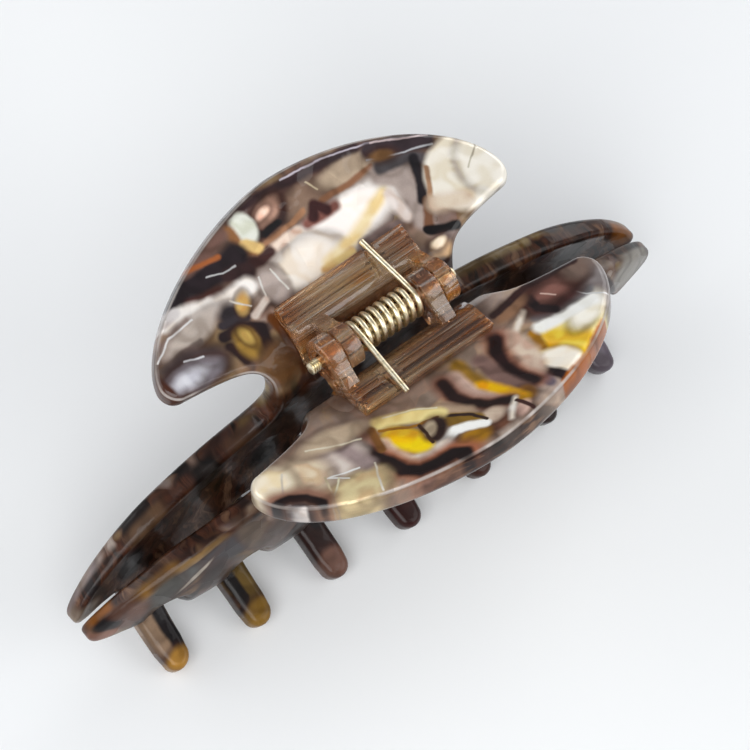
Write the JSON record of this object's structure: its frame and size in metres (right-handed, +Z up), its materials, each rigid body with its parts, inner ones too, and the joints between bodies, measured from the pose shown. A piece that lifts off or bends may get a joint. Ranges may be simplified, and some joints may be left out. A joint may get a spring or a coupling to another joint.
{
  "type": "claw clip",
  "caption": "Long double-sided claw clip for hair: two bent sheet halves with wide thumb grips and interlocking curved teeth, joined by a sprung pin hinge.",
  "frame": {"origin": "middle of the clip's footprint, level with the tips of its longest teeth; the pin axis is straight above it", "axes": "+X along the hinge pin and the jaws; +Y toward the rear half, the one that holds the spring's rear leg; +Z up, from the teeth to the hinge"},
  "size_m": [0.104, 0.0526, 0.0482],
  "materials": {
    "rear_acetate": "polished marbled pearlescent sheet, cream, grey and brown",
    "front_acetate": "polished marbled pearlescent sheet, cream, yellow and brown",
    "rear_amber": "clear amber moulded plastic",
    "front_amber": "clear amber moulded plastic",
    "pin_gold": "pale gold plated, ribbed end",
    "wire_gold": "pale gold plated wire"
  },
  "bodies": {
    "rear": {"rear_claw_half": "rear_acetate", "rear_hinge_leaf": "rear_amber", "hinge_pin": "pin_gold", "torsion_spring": "wire_gold"},
    "front": {"front_claw_half": "front_acetate", "front_hinge_leaf": "front_amber"}
  },
  "joints": [
    {"name": "clip_hinge", "type": "hinge", "parent": "rear", "child": "front", "pos_m": [0, 0, 0.04421], "axis": [-1, 0, 0], "range_deg": [0, 80], "stiffness_Nm_per_rad": 0.06, "springref_deg": -51.57, "deforming": ["torsion_spring"]}
  ]
}
